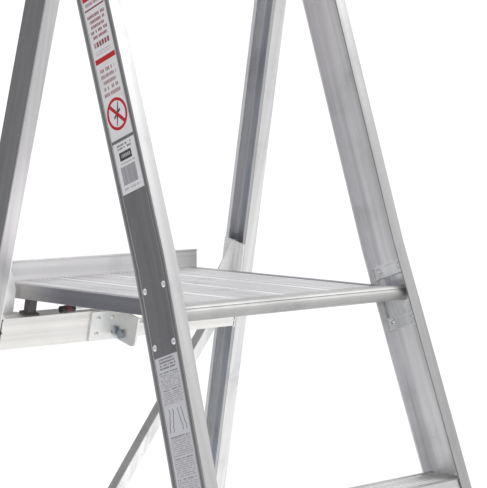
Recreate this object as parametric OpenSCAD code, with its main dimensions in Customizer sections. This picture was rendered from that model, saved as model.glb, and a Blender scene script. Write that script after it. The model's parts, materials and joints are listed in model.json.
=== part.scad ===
// Folding platform step ladder: a front climbing frame, a rear support frame
// hinged to it at the top, and a platform that tilts up between the stiles.
// +X is the climber's right, +Y runs from the front frame to the rear frame,
// +Z is up. The origin is on the floor, under the middle of the footprint.

/* [Overall] */
// Height of the platform's top above the floor
deck_h = 1200; // [1080:10:1500]
// Vertical distance between treads
step_rise = 308; // [260:1:340]
// Height of the front stiles above the platform
guard_rise = 690; // [660:10:900]
// Lean of the front frame from vertical, in degrees
front_lean = 19; // [17:0.5:21]
// Lean of the rear frame from vertical, in degrees
rear_lean = 14; // [12:0.5:16]
// Distance from the front frame's front edge to the rear frame's, at platform height
frame_gap = 430; // [400:5:480]

/* [Front frame] */
// Depth of a front stile
stile_depth = 76; // [70:1:100]
// Width of a front stile's flanges
stile_flange = 22.5; // [18:0.5:28]
// Thickness of a front stile's web at its raised bands
stile_web = 3; // [2.4:0.1:4]
// Thickness of a front stile's flanges
stile_skin = 2.6; // [2:0.1:4]
// Width of each raised band on the web
web_band = 9.5; // [6:0.5:14]
// Depth of the web's recessed middle panel
web_recess = 0.8; // [0.4:0.1:1]
// Half of the front frame's outer width above the bend
front_half = 255.5; // [240:0.5:300]
// Distance of the bend above the platform, along the stile
bend_up = 76; // [62:1:100]
// Flare of each front stile below the bend, in degrees
front_splay = 2.7; // [1:0.1:4]

/* [Treads] */
// Number of treads below the platform
tread_count = 3; // [3:1:3]
// Height of a tread's front and rear lips
tread_lip = 32; // [24:1:40]
// Thickness of the tread's skin
tread_skin = 2.6; // [2:0.1:4]
// Height of the grip ribs on treads and planks
rib_h = 1; // [0.6:0.1:1.6]
// Distance between grip ribs
rib_pitch = 9; // [6:0.5:14]
// Thickness of a tread bracket's plates
tread_plate = 3; // [2:0.2:4]

/* [Platform] */
// Half of the platform's width
deck_half = 217; // [190:1:222]
// Distance from the front frame's front edge to the platform's rear face
deck_rear = 513.5; // [490:1:520]
// Radius of the round nose tube
nose_r = 12.5; // [11:0.5:14]
// Distance from the front frame's front edge to the nose tube's axis
nose_y = 20; // [16:0.5:26]
// Wall of the nose tube
nose_wall = 3.5; // [3:0.1:4.5]
// Radius of the spigots that the nose tube turns on
spigot_r = 6; // [4:0.1:6.5]
// Height of the platform planks
plank_h = 14; // [12:0.5:16]
// Number of planks
plank_count = 4; // [3:1:6]
// Width of the side rails' top flanges
rail_top = 16; // [10:1:20]
// Height of the toe board above the platform
toe_h = 34; // [20:1:60]
// Thickness of the toe board
toe_t = 3; // [2.4:0.1:4]
// Thickness of the platform bracket's plate
bracket_plate = 3; // [2:0.2:4]

/* [Rear frame] */
// Depth of a rear stile
rear_depth = 56; // [50:1:70]
// Width of a rear stile's flanges
rear_flange = 25; // [20:0.5:30]
// Return lip of a rear stile's flanges
rear_lip = 8; // [5:0.5:12]
// Thickness of a rear stile
rear_skin = 2.3; // [2:0.1:3.5]
// Half of the rear frame's outer width at platform height
rear_half = 284; // [280:0.5:330]
// Flare of each rear stile, in degrees
rear_splay = 3.3; // [2.6:0.1:3.4]
// Height of the upper cross rail
rail_h = 55; // [45:1:60]
// Height of the upper cross rail to the right of the latch
rail_right_h = 24; // [22:1:40]
// Depth of the cross rails
rail_d = 26; // [20:1:30]
// Distance of the upper cross rail's top below the platform, along the rear stile
rail_drop = 57; // [55:1:62]
// Height of the lower cross rail
low_rail_h = 40; // [30:1:50]
// Distance of the lower cross rail's middle above the floor
low_rail_z = 150; // [120:5:220]
// Wall of the cross rails
rail_wall = 2.4; // [2:0.1:3]
// Width of the diagonal brace's flanges
brace_w = 20; // [18:1:24]
// Thickness of the diagonal brace
brace_t = 2.5; // [2:0.1:3.5]

/* [Hinges and latch] */
// Gap left between the folded frames
fold_gap = 3; // [2:0.5:6]
// Thickness of the hinge plates
hinge_t = 4; // [3:0.5:6]
// Radius of the hinge bolts
hinge_r = 5; // [4:0.5:6]
// Radial clearance of everything that turns on a bolt or a spigot
turn_gap = 0.05; // [0.02:0.01:0.08]
// Thickness of the rail bracket and its latch lever
latch_t = 4; // [3:0.5:5]
// Distance of the latch grip's middle from the ladder's middle
grip_x = 131; // [110:1:160]

/* [Feet] */
// Thickness of a foot's tread pad
foot_pad = 12; // [8:1:20]
// How far a foot stands out past its stile
foot_toe = 7; // [4:0.5:12]

/* [Hidden] */
$fn = 48;

// clearance between parts that only lie side by side, and between pieces of one body
side_gap = 0.5;
seat_gap = 0.05;
rivet_r = 2.4;
rivet_hole = rivet_r + seat_gap;
rivet_head = 5;

// the footprint's middle lies over the origin
front_foot_y = -deck_h * tan(front_lean) - foot_toe;
rear_foot_y = frame_gap + deck_h * tan(rear_lean) + rear_depth / cos(rear_lean) + foot_toe;
mid_y = (front_foot_y + rear_foot_y) / 2;

// top hinge: on the rear stile's middle line, and far enough behind the front
// stile for the rear stile to fold in behind it
hinge_v = stile_depth + fold_gap + rear_depth / 2;
hinge_z = (frame_gap + rear_depth / 2 / cos(rear_lean) - hinge_v / cos(front_lean))
    / (tan(front_lean) + tan(rear_lean));
hinge_y = hinge_v / cos(front_lean) + hinge_z * tan(front_lean);
hinge_u = hinge_z * cos(front_lean) + hinge_y * sin(front_lean);
hinge_w = (hinge_z * cos(rear_lean)) - (hinge_y - frame_gap) * sin(rear_lean);

// front stile, seen along its own length: u runs up it from platform height
function front_u(y, z) = z * cos(front_lean) + y * sin(front_lean);
function low_z(u) = (u - bend_up) / cos(front_splay);
function front_x(u) = front_half + max(0, bend_up - u) * tan(front_splay);
function rear_x(u) = rear_half - u * tan(rear_splay);

// nose tube axis, below the platform's top by its own radius
nose_z = -nose_r;
nose_u = front_u(nose_y, nose_z);
bore_r = nose_r - nose_wall;
bracket_face = front_x(nose_u) - stile_web / cos(front_splay) - bracket_plate;
nose_half = bracket_face - 2;

// planks lie between the side rails' top flanges
plank_skin = 2.6;
plank_half = deck_half - rail_top - side_gap;
plank_front = nose_y + nose_r + 5;
plank_rear = deck_rear - toe_t - side_gap;
deck_low = -2 * nose_r;
rear_bearer_y = 451;
bearer_w = 36;

// rear rail and latch, in the rear frame's own leaning axes
rail_top_u = -rail_drop;
rail_low_u = rail_top_u - rail_h;
gusset_t = 3;
rail_end = rear_x(rail_top_u) - rear_flange - gusset_t - 1;
low_rail_u = (low_rail_z - deck_h) / cos(rear_lean);
latch_v = -14;
latch_u = rail_top_u - 42;
rod_r = 4;
rod_v = -2;
rod_u = rail_top_u + 9;
ear_x = -14;
lever_x = ear_x + latch_t + side_gap;

aluminium = [0.80, 0.81, 0.82];
bright = [0.87, 0.88, 0.89];
zinc = [0.76, 0.80, 0.80];
black = [0.13, 0.13, 0.14];
red = [0.72, 0.12, 0.12];

// ---- frames of reference ----
module ladder() { translate([0, -mid_y, deck_h]) children(); }
module front_frame() { ladder() rotate([-front_lean, 0, 0]) children(); }
module rear_frame() { ladder() translate([0, frame_gap, 0]) rotate([rear_lean, 0, 0]) children(); }
module side(s) { mirror([s < 0 ? 1 : 0, 0, 0]) children(); }
// x = 0 is the web's outer face, inwards is -x, z = 0 is the bend
module front_upper() { front_frame() translate([front_half, 0, bend_up]) children(); }
module front_lower() { front_upper() rotate([0, -front_splay, 0]) children(); }
// x = 0 is the rear web's outer face, z runs along the stile
module rear_web() { rear_frame() translate([rear_half, 0, 0]) rotate([0, -rear_splay, 0]) children(); }

// ---- small repeated shapes ----
// a rod along +x from the origin
module rod(r, l) { rotate([0, 90, 0]) cylinder(r = r, h = l); }
// a domed rivet head on x = 0, standing out towards +x
module dome(r, h) {
    rotate([0, 90, 0]) intersection() {
        translate([0, 0, h - (r * r + h * h) / (2 * h)]) sphere(r = (r * r + h * h) / (2 * h), $fn = 64);
        cylinder(r = r, h = h);
    }
}
// a rivet whose head seats on x = 0 and whose shank runs grip deep towards -x
module rivet(grip, head = rivet_head) {
    dome(head, head * 0.45);
    translate([-grip, 0, 0]) rod(rivet_r, grip);
    mirror([1, 0, 0]) translate([grip, 0, 0]) dome(rivet_r + 1.2, 1.6);
}
// a rivet whose far end is flush
module flush_rivet(grip, head = rivet_head) {
    dome(head, head * 0.45);
    translate([-grip, 0, 0]) rod(rivet_r, grip);
}
module rivet_hole(grip) { translate([-grip - 1, 0, 0]) rod(rivet_hole, grip + 2); }
// a hexagon head along +x
module hex_head(across, h) { rotate([0, 90, 0]) cylinder(r = across / 2 / cos(30), h = h, $fn = 6); }

// ---- front stiles ----
// a strip of the bent stile seen from the front, between two depths behind its outer line
module bent_strip(a, b) {
    up = guard_rise * 1.3;
    down = deck_h / cos(front_lean) + bend_up + 60;
    c = cos(front_splay);
    d = sin(front_splay);
    h = tan(front_splay / 2);
    polygon([
        [-a, up], [-a, -a * h], [down * d - a * c, -down * c - a * d],
        [down * d - b * c, -down * c - b * d], [-b, -b * h], [-b, up]
    ]);
}
// that strip as a solid over part of the stile's depth
module bent_slab(a, b, v1, v2) {
    front_upper() translate([0, v2, 0]) rotate([90, 0, 0]) linear_extrude(v2 - v1) bent_strip(a, b);
}
module stile_blank() {
    difference() {
        bent_slab(0, stile_flange, 0, stile_depth);
        bent_slab(stile_web, stile_flange + 5, stile_skin, stile_depth - stile_skin);
        bent_slab(-5, web_recess, web_band, stile_depth - web_band);
    }
}
platform_rivet_v = [15, 61];
platform_rivet_u = [40, -46];
tread_rivet_v = [stile_depth / 4, stile_depth * 3 / 4];
tread_rivet_drop = [16, 24 + tread_rivet_v[1] * tan(front_lean)];
hinge_rivet_v = [16, 58];
hinge_rivet_u = [hinge_u - 76, hinge_u - 12];
function tread_z(i) = -i * step_rise;
function tread_rear_y(i) = tread_z(i) * tan(front_lean)
    + (stile_depth - stile_skin - side_gap) / cos(front_lean);
function tread_front_y(i) = tread_z(i) * tan(front_lean) + (stile_skin + side_gap) / cos(front_lean);
function tread_u(i) = front_u(tread_rear_y(i), tread_z(i));
module web_rivets() {
    for (v = platform_rivet_v, u = platform_rivet_u)
        front_lower() translate([-web_recess, v, low_z(u)]) children();
}
module tread_web_points(i) {
    for (v = tread_rivet_v, d = tread_rivet_drop)
        front_lower() translate([-web_recess, v, low_z(tread_u(i) - d)]) children();
}
module hinge_rivet_points() {
    for (v = hinge_rivet_v, u = hinge_rivet_u)
        front_upper() translate([0, v, u - bend_up]) children();
}
module foot_rivet_points() {
    for (v = [stile_depth * 0.3, stile_depth * 0.7])
        front_lower() translate([-web_recess, v, low_z(front_u(-deck_h * tan(front_lean), -deck_h) + 70)])
            children();
}
cap_wall = 3.5;
cap_skirt = 42;
cap_top = deck_h + guard_rise + 4;
module cap_screw_points() {
    for (v = [20, 56])
        front_upper() translate([0, v,
            (cap_top - deck_h - cap_skirt / 2 + v * sin(front_lean)) / cos(front_lean) - bend_up]) children();
}
module front_stile(s) {
    side(s) color(aluminium) difference() {
        intersection() {
            stile_blank();
            translate([0, -1500, foot_pad]) cube([800, 3000, cap_top - 4 - foot_pad]);
        }
        web_rivets() rivet_hole(8);
        for (i = [1:tread_count]) tread_web_points(i) rivet_hole(8);
        hinge_rivet_points() rivet_hole(8);
        foot_rivet_points() rivet_hole(8);
        cap_screw_points() rivet_hole(8);
    }
}
module front_stile_left() { front_stile(-1); }
module front_stile_right() { front_stile(1); }

// ---- treads ----
// outline in Y and Z: a ribbed top, and two lips that lean with the stiles
module tread_section(i) {
    y1 = tread_front_y(i);
    y2 = tread_rear_y(i);
    z = tread_z(i);
    lean = tread_lip * tan(front_lean);
    top = z - rib_h;
    ribs = floor((y2 - y1 - 8) / rib_pitch);
    start = (y1 + y2) / 2 - (ribs - 1) * rib_pitch / 2;
    skin_y = tread_skin / cos(front_lean);
    polygon(concat(
        [[y1 - lean, z - tread_lip], [y1, top], [y1, z], [y1 + 4, z], [y1 + 4, top]],
        [for (k = [1:ribs - 2]) let (y = start + k * rib_pitch)
            each [[y - 1.5, top], [y - 1, z], [y + 1, z], [y + 1.5, top]]],
        [[y2 - 4, top], [y2 - 4, z], [y2, z], [y2, top], [y2 - lean, z - tread_lip],
         [y2 - lean - skin_y - 6, z - tread_lip],
         [y2 - lean - skin_y - 6 + 2 * tan(front_lean), z - tread_lip + 2],
         [y2 - lean - skin_y + 2 * tan(front_lean), z - tread_lip + 2],
         [y2 - skin_y - tread_skin * tan(front_lean), top - tread_skin],
         [y1 + skin_y - tread_skin * tan(front_lean), top - tread_skin],
         [y1 - lean + skin_y + 2 * tan(front_lean), z - tread_lip + 2],
         [y1 - lean + skin_y + 6 + 2 * tan(front_lean), z - tread_lip + 2],
         [y1 - lean + skin_y + 6, z - tread_lip]]
    ));
}
function tread_half(i) = front_x(tread_u(i)) - stile_web / cos(front_splay) - tread_plate - side_gap;
// shelf rivets have their heads under the shelf and end flush with the tread's skin
shelf_l = 38;
shelf_t = 3;
module shelf_points(i) {
    for (y = [tread_front_y(i) + 22, tread_rear_y(i) - 22])
        ladder() translate([tread_half(i) - 18, y, tread_z(i) - rib_h - tread_skin - shelf_t])
            rotate([0, 90, 0]) children();
}
module tread(i) {
    color(bright) difference() {
        ladder() rotate([90, 0, 90]) translate([0, 0, -tread_half(i)])
            linear_extrude(2 * tread_half(i)) tread_section(i);
        for (s = [-1, 1]) side(s) shelf_points(i) rivet_hole(shelf_t + tread_skin + 2);
    }
}
module tread_low() { tread(3); }
module tread_middle() { tread(2); }
module tread_top() { tread(1); }

// each bracket is a plate on the stile's web with a shelf under the tread's skin
module tread_bracket(i) {
    plate_h = 58;
    shelf_z = tread_z(i) - rib_h - tread_skin - shelf_t;
    gap = stile_skin + side_gap;
    skin_y = tread_skin / cos(front_lean) + side_gap;
    side_x = front_x(tread_u(i)) - stile_web / cos(front_splay);
    difference() {
        union() {
            front_lower() translate([-stile_web - tread_plate, gap, low_z(tread_u(i) - plate_h)])
                cube([tread_plate, stile_depth - 2 * gap, low_z(tread_u(i)) - low_z(tread_u(i) - plate_h)]);
            ladder() translate([side_x - shelf_l, tread_front_y(i) + skin_y, shelf_z])
                cube([shelf_l - 1, tread_rear_y(i) - tread_front_y(i) - 2 * skin_y
                    - (tread_skin + shelf_t) * tan(front_lean), shelf_t]);
        }
        tread_web_points(i) rivet_hole(8);
        shelf_points(i) rivet_hole(shelf_t);
    }
}
module tread_bracket_pair(i) { color(bright) for (s = [-1, 1]) side(s) tread_bracket(i); }
module tread_brackets_low() { tread_bracket_pair(3); }
module tread_brackets_middle() { tread_bracket_pair(2); }
module tread_brackets_top() { tread_bracket_pair(1); }
module tread_rivets() {
    color(bright) for (s = [-1, 1], i = [1:tread_count]) side(s) {
        tread_web_points(i) rivet(stile_web - web_recess + tread_plate);
        shelf_points(i) flush_rivet(shelf_t + tread_skin);
    }
}

// ---- platform brackets ----
pad_top = 50;
pad_low = -60;
pad_h = 22;
pad_t = 5;
ring_h = 6;
spigot_l = 22;
module platform_bracket(s) {
    gap = stile_skin + side_gap;
    v_w = stile_depth - 2 * gap;
    side(s) color(bright) difference() {
        union() {
            front_lower() translate([-stile_web - bracket_plate, gap, low_z(pad_low)])
                cube([bracket_plate, v_w, pad_top - pad_low]);
            // ridged pads that carry the rivets
            for (u = [pad_low, pad_top - pad_h]) front_lower()
                translate([-stile_web - bracket_plate - pad_t, gap, low_z(u)]) {
                    cube([pad_t + 1, v_w, pad_h]);
                    for (k = [0, pad_h - 3]) translate([-2, 0, k]) cube([3, v_w, 3]);
                }
            ladder() translate([bracket_face - ring_h, nose_y, nose_z])
                rod(nose_r + side_gap + 3, ring_h + 1.5);
            ladder() translate([nose_half - spigot_l, nose_y, nose_z])
                rod(spigot_r, spigot_l + bracket_face - nose_half + 1.5);
        }
        ladder() difference() {
            translate([bracket_face - ring_h - 1, nose_y, nose_z]) rod(nose_r + side_gap, ring_h + 1);
            translate([bracket_face - ring_h - 2, nose_y, nose_z]) rod(spigot_r, ring_h + 3);
        }
        web_rivets() rivet_hole(20);
    }
}
module platform_bracket_left() { platform_bracket(-1); }
module platform_bracket_right() { platform_bracket(1); }
module platform_bracket_rivets() {
    color(bright) for (s = [-1, 1]) side(s)
        web_rivets() rivet(stile_web - web_recess + bracket_plate + pad_t);
}

// ---- top hinge ----
module hinge_outline() {
    low = hinge_u - 106;
    high = hinge_u + 34;
    end_r = 27;
    difference() {
        union() {
            polygon([[4, low], [stile_depth - 4, low], [stile_depth, low + 22],
                     [hinge_v + end_r, hinge_u - 34], [hinge_v + end_r, hinge_u], [hinge_v, high - 7],
                     [stile_depth, high], [4, high]]);
            translate([hinge_v, hinge_u]) circle(r = end_r);
        }
        translate([hinge_v, hinge_u]) circle(r = hinge_r + seat_gap);
    }
}
module hinge_plate(s) {
    side(s) color(aluminium) difference() {
        front_upper() translate([0, 0, -bend_up]) rotate([90, 0, 90])
            linear_extrude(hinge_t) hinge_outline();
        hinge_rivet_points() rivet_hole(8);
        hinge_rivet_points() translate([-1, 0, 0]) rod(rivet_hole, hinge_t + 2);
    }
}
module hinge_plate_left() { hinge_plate(-1); }
module hinge_plate_right() { hinge_plate(1); }
module hinge_plate_rivets() {
    color(bright) for (s = [-1, 1]) side(s)
        hinge_rivet_points() translate([hinge_t, 0, 0]) rivet(hinge_t + stile_web);
}
// bolt: head outside the plate, shank through the spacer and the rear web
hinge_out = front_half + hinge_t;
hinge_in = rear_x(hinge_w) - rear_flange * 0.6;
module hinge_bolt(s) {
    side(s) color(zinc) ladder() translate([0, hinge_y, hinge_z]) {
        translate([hinge_out, 0, 0]) hex_head(17, 6);
        translate([hinge_in - 9, 0, 0]) rod(hinge_r, hinge_out - hinge_in + 9);
    }
}
module hinge_bolt_left() { hinge_bolt(-1); }
module hinge_bolt_right() { hinge_bolt(1); }
spacer_out = front_half;
spacer_in = rear_x(hinge_w) + tan(rear_splay) * 14 + side_gap;
module hinge_spacers() {
    color(black) for (s = [-1, 1]) side(s) ladder() translate([0, hinge_y, hinge_z]) difference() {
        translate([spacer_in, 0, 0]) rod(12, spacer_out - spacer_in);
        translate([spacer_in - 1, 0, 0]) rod(hinge_r + seat_gap, spacer_out - spacer_in + 2);
    }
}
module hinge_nuts() {
    color(zinc) for (s = [-1, 1]) side(s) ladder() translate([hinge_in - 7, hinge_y, hinge_z])
        difference() {
            union() {
                hex_head(17, 7);
                translate([7, 0, 0]) rod(11, 1.5);
            }
            translate([-1, 0, 0]) rod(hinge_r + seat_gap, 12);
        }
}

// ---- top cap ----
cap_lip = 8;
cap_half = front_half + side_gap + cap_wall;
cap_front = (guard_rise - cap_skirt) * tan(front_lean) - cap_wall - 4;
cap_rear = guard_rise * tan(front_lean) + stile_depth / cos(front_lean) + cap_wall + 16;
module rounded(x1, y1, x2, y2, r) {
    for (x = [x1 + r, x2 - r], y = [y1 + r, y2 - r]) translate([x, y]) circle(r = r);
    translate([x1 + r, y1]) square([x2 - x1 - 2 * r, y2 - y1]);
    translate([x1, y1 + r]) square([x2 - x1, y2 - y1 - 2 * r]);
}
module top_cap() {
    color(red) difference() {
        translate([0, -mid_y, cap_top - cap_skirt]) linear_extrude(cap_skirt + cap_lip)
            rounded(-cap_half, cap_front, cap_half, cap_rear, 8);
        translate([0, -mid_y, cap_top - cap_skirt - 1]) linear_extrude(cap_skirt - 4 + 1)
            rounded(-cap_half + cap_wall, cap_front + cap_wall, cap_half - cap_wall,
                cap_rear - cap_wall, 4.5);
        // shallow tray in the top
        translate([0, -mid_y, cap_top]) linear_extrude(cap_lip + 1)
            rounded(-cap_half + 6, cap_front + 6, cap_half - 6, cap_rear - 6, 5);
        for (s = [-1, 1]) side(s) cap_screw_points() translate([-1, 0, 0]) rod(rivet_hole, 20);
    }
}
module top_cap_screws() {
    color(zinc) for (s = [-1, 1]) side(s) cap_screw_points() translate([side_gap + cap_wall, 0, 0])
        rivet(side_gap + cap_wall + stile_web, 5);
}

// ---- feet ----
// a pad under the stile with a plug that fills the foot of the channel
module foot_pad_shape(x1, x2, y1, y2) {
    difference() {
        linear_extrude(foot_pad) rounded(x1, y1, x2, y2, 6);
        for (k = [1:5]) translate([x1 - 1, y1 + k * (y2 - y1) / 6 - 1.5, -1]) cube([x2 - x1 + 2, 3, 3]);
    }
}
module front_foot(s) {
    foot_u = front_u(-deck_h * tan(front_lean), -deck_h);
    x_out = front_x(foot_u) + 3;
    y1 = front_foot_y - mid_y;
    y2 = -deck_h * tan(front_lean) + stile_depth / cos(front_lean) + foot_toe - mid_y;
    gap = side_gap;
    side(s) color(black) difference() {
        union() {
            foot_pad_shape(x_out - stile_flange - 10, x_out, y1, y2);
            intersection() {
                front_lower() translate([-stile_flange, stile_skin + gap, low_z(foot_u) - 10])
                    cube([stile_flange - stile_web - gap, stile_depth - 2 * (stile_skin + gap), 100]);
                translate([0, -1500, foot_pad - 1]) cube([800, 3000, 72]);
            }
        }
        foot_rivet_points() rivet_hole(10);
    }
}
module front_foot_left() { front_foot(-1); }
module front_foot_right() { front_foot(1); }
module front_foot_rivets() {
    color(bright) for (s = [-1, 1]) side(s) foot_rivet_points() flush_rivet(9);
}

// ---- labels on the left stile's recessed web ----
label_t = 0.3;
label_w = 54;
module label(u1, u2) {
    side(-1) color("white") front_upper()
        translate([-web_recess, (stile_depth - label_w) / 2, u1 - bend_up])
            cube([label_t, label_w, u2 - u1]);
}
module label_low(u1, u2) {
    side(-1) color("white") front_lower()
        translate([-web_recess, (stile_depth - label_w) / 2, low_z(u1)]) cube([label_t, label_w, u2 - u1]);
}
module label_upper() { label(274, 520); }
module label_middle() { label(190, 269); }
// ends above the heads of the top tread's rivets
label_end = max(-286, tread_u(1) - tread_rivet_drop[0] + rivet_head + 5);
module label_lower() { label_low(label_end, -62); }

// ---- rear stiles ----
module rear_section() {
    t = rear_skin;
    w = rear_flange;
    d = rear_depth;
    polygon([
        [0, 0], [0, d], [-w, d], [-w, d - rear_lip], [-w + t, d - rear_lip], [-w + t, d - t],
        [-t, d - t], [-t, t], [-w + t, t], [-w + t, rear_lip], [-w, rear_lip], [-w, 0]
    ]);
}
gusset_top = 47;
gusset_low = -114;
gusset_rivet_u = [gusset_top - 14, gusset_top - 60, gusset_low + 14];
lip_rivet_v = [rear_skin + 2.9, rear_depth - rear_skin - 2.9];
module gusset_rivet_points() {
    for (u = gusset_rivet_u, v = lip_rivet_v)
        rear_web() translate([-rear_flange - gusset_t, v, u]) mirror([1, 0, 0]) children();
}
low_bracket_half = 32;
module low_bracket_rivet_points() {
    for (u = [-22, 22], v = lip_rivet_v)
        rear_web() translate([-rear_flange - gusset_t, v, low_rail_u + u]) mirror([1, 0, 0]) children();
}
module rear_foot_rivet_points() {
    for (v = [rear_depth * 0.3, rear_depth * 0.7])
        rear_web() translate([0, v, -(deck_h - 62) / cos(rear_lean)]) children();
}
module rear_stile(s) {
    reach = deck_h / cos(rear_lean) + 60;
    side(s) color(aluminium) difference() {
        intersection() {
            rear_web() translate([0, 0, -reach]) linear_extrude(reach + hinge_w + 60) rear_section();
            translate([0, -1500, foot_pad]) cube([800, 3000, 3000]);
            // rounded end about the hinge
            ladder() translate([100, hinge_y, hinge_z]) rotate([rear_lean, 0, 0]) union() {
                rod(rear_depth / 2 - 0.2, 400);
                translate([0, -100, -2400]) cube([400, 200, 2400]);
            }
        }
        ladder() translate([100, hinge_y, hinge_z]) rod(hinge_r + turn_gap, 400);
        gusset_rivet_points() rivet_hole(10);
        low_bracket_rivet_points() rivet_hole(10);
        rear_foot_rivet_points() rivet_hole(8);
    }
}
module rear_stile_left() { rear_stile(-1); }
module rear_stile_right() { rear_stile(1); }

// ---- rear gussets: a plate over the channel's mouth and an ear behind the rail ----
ear_reach = 212;
function rail_rivets(s) = s < 0
    ? [[ear_reach + 9, rail_top_u - 14], [rail_end - 12, rail_top_u - 14], [ear_reach + 9, rail_low_u + 14]]
    : [[ear_reach + 8, rail_low_u + 6.5], [ear_reach + 8, rail_low_u + 17.5]];
module rail_rivet_points(s) {
    for (p = rail_rivets(s)) rear_frame() translate([p[0], rail_d + side_gap + gusset_t, p[1]]) rotate([0, 0, 90]) children();
}
module rear_gusset(s) {
    side(s) color(aluminium) difference() {
        union() {
            rear_web() translate([-rear_flange - gusset_t, 1, gusset_low])
                cube([gusset_t, rear_depth - 2, gusset_top - gusset_low]);
            rear_frame() translate([0, rail_d + side_gap + gusset_t, 0]) rotate([90, 0, 0])
                linear_extrude(gusset_t) polygon([
                    [ear_reach, gusset_low], [rear_x(gusset_low) - rear_flange - 1.5, gusset_low],
                    [rear_x(gusset_top) - rear_flange - 1.5, gusset_top],
                    [rear_x(gusset_top) - rear_flange - 8, gusset_top], [ear_reach + 9, -16],
                    [ear_reach + 9, rail_top_u], [ear_reach, rail_top_u]
                ]);
        }
        gusset_rivet_points() rivet_hole(10);
        rail_rivet_points(s) rivet_hole(10);
        if (s > 0) brace_top_points() rivet_hole(14);
    }
}
module rear_gusset_left() { rear_gusset(-1); }
module rear_gusset_right() { rear_gusset(1); }
module gusset_rivets() {
    color(bright) for (s = [-1, 1]) side(s) {
        gusset_rivet_points() flush_rivet(gusset_t + rear_skin, 4);
        low_bracket_rivet_points() flush_rivet(gusset_t + rear_skin, 4);
        rail_rivet_points(s) rivet(gusset_t + side_gap + rail_wall, 4.5);
        low_rail_rivet_points() rivet(gusset_t + side_gap + rail_wall, 4.5);
    }
}

// ---- cross rails: hollow boxes with rounded upper ends ----
module rail_outline(left, right, low, h) {
    rounded(left, low + h / 2, right, low + h, 8);
    translate([left, low]) square([right - left, h / 2 + 1]);
}
module cross_rail(half, low, h) {
    rear_frame() translate([0, rail_d, 0]) rotate([90, 0, 0]) difference() {
        linear_extrude(rail_d) rail_outline(-half, half, low, h);
        translate([0, 0, rail_wall]) linear_extrude(rail_d - 2 * rail_wall)
            translate([-half - 1, low + rail_wall]) square([2 * half + 2, h - 2 * rail_wall]);
    }
}
bracket_rivet_x = [-62, -32];
module bracket_rivet_points() {
    for (x = bracket_rivet_x, u = [rail_top_u - 13, rail_low_u + 13])
        rear_frame() translate([x, -latch_t, u]) rotate([0, 0, -90]) children();
}
block_x = 197;
block_w = 16;
// steps down to the right of the latch
rail_step_x = 6;
module upper_cross_rail() {
    low = rail_low_u + rail_wall;
    color(bright) difference() {
        rear_frame() translate([0, rail_d, 0]) rotate([90, 0, 0]) difference() {
            linear_extrude(rail_d) {
                rail_outline(-rail_end, rail_step_x, rail_low_u, rail_h);
                translate([-rail_end, rail_low_u]) square([2 * rail_end, rail_right_h]);
            }
            translate([0, 0, rail_wall]) linear_extrude(rail_d - 2 * rail_wall) translate([-rail_end - 1, low]) {
                square([rail_end + 1 + rail_step_x - rail_wall, rail_h - 2 * rail_wall]);
                square([2 * rail_end + 2, rail_right_h - 2 * rail_wall]);
            }
        }
        for (s = [-1, 1]) side(s) rail_rivet_points(s) rivet_hole(8);
        bracket_rivet_points() rivet_hole(10);
        brace_top_points() rivet_hole(14);
    }
}
low_rail_end = rear_x(low_rail_u + low_rail_h / 2) - rear_flange - gusset_t - 1;
module low_rail_rivet_points() {
    for (u = [-9, 9])
        rear_frame() translate([low_rail_end - 11, rail_d + side_gap + gusset_t, low_rail_u + u])
            rotate([0, 0, 90]) children();
}
module lower_cross_rail() {
    color(bright) difference() {
        cross_rail(low_rail_end, low_rail_u - low_rail_h / 2, low_rail_h);
        for (s = [-1, 1]) side(s) low_rail_rivet_points() rivet_hole(8);
        brace_low_points() rivet_hole(14);
    }
}
module lower_rail_brackets() {
    inner = rear_x(low_rail_u) - rear_flange;
    slope = low_bracket_half * tan(rear_splay);
    color(aluminium) for (s = [-1, 1]) side(s) difference() {
        union() {
            rear_web() translate([-rear_flange - gusset_t, 1, low_rail_u - low_bracket_half])
                cube([gusset_t, rear_depth - 2, 2 * low_bracket_half]);
            rear_frame() translate([0, rail_d + side_gap + gusset_t, low_rail_u]) rotate([90, 0, 0])
                linear_extrude(gusset_t) polygon([
                    [low_rail_end - 64, -18], [inner - 1.5 + slope * 0.5, -18],
                    [inner - 1.5 - slope * 0.5, 18], [low_rail_end - 64, 18]
                ]);
        }
        low_bracket_rivet_points() rivet_hole(10);
        low_rail_rivet_points() rivet_hole(8);
        if (s < 0) mirror([1, 0, 0]) brace_low_points() rivet_hole(14);
    }
}

// ---- diagonal brace, riveted over the ears, from upper right to lower left ----
brace_v = rail_d + 2 * side_gap + gusset_t;
brace_top = [246, rail_low_u + 13];
brace_low = [-low_rail_end + 48, low_rail_u];
brace_run = brace_top - brace_low;
brace_len = norm(brace_run);
brace_turn = atan2(brace_run[0], brace_run[1]);
brace_grip = brace_t + 2 * side_gap + gusset_t + rail_wall;
module brace_frame() {
    rear_frame() translate([brace_low[0], brace_v, brace_low[1]]) rotate([0, brace_turn, 0]) children();
}
module brace_top_points() {
    brace_frame() translate([0, brace_t, brace_len]) rotate([0, 0, 90]) children();
}
module brace_low_points() {
    for (d = [-10, 10]) brace_frame() translate([0, brace_t, d]) rotate([0, 0, 90]) children();
}
module diagonal_brace() {
    color(aluminium) difference() {
        union() {
            brace_frame() translate([-brace_w / 2, 0, -20]) cube([brace_w, brace_t, brace_len + 29]);
            // a flange turned back along the left edge
            brace_frame() translate([-brace_w / 2, 0, -20]) cube([brace_t, brace_w, brace_len + 29]);
        }
        brace_top_points() rivet_hole(14);
        brace_low_points() rivet_hole(14);
    }
}
module brace_rivets() {
    color(bright) {
        brace_top_points() rivet(brace_grip, 4.5);
        brace_low_points() rivet(brace_grip, 4.5);
    }
}

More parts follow.
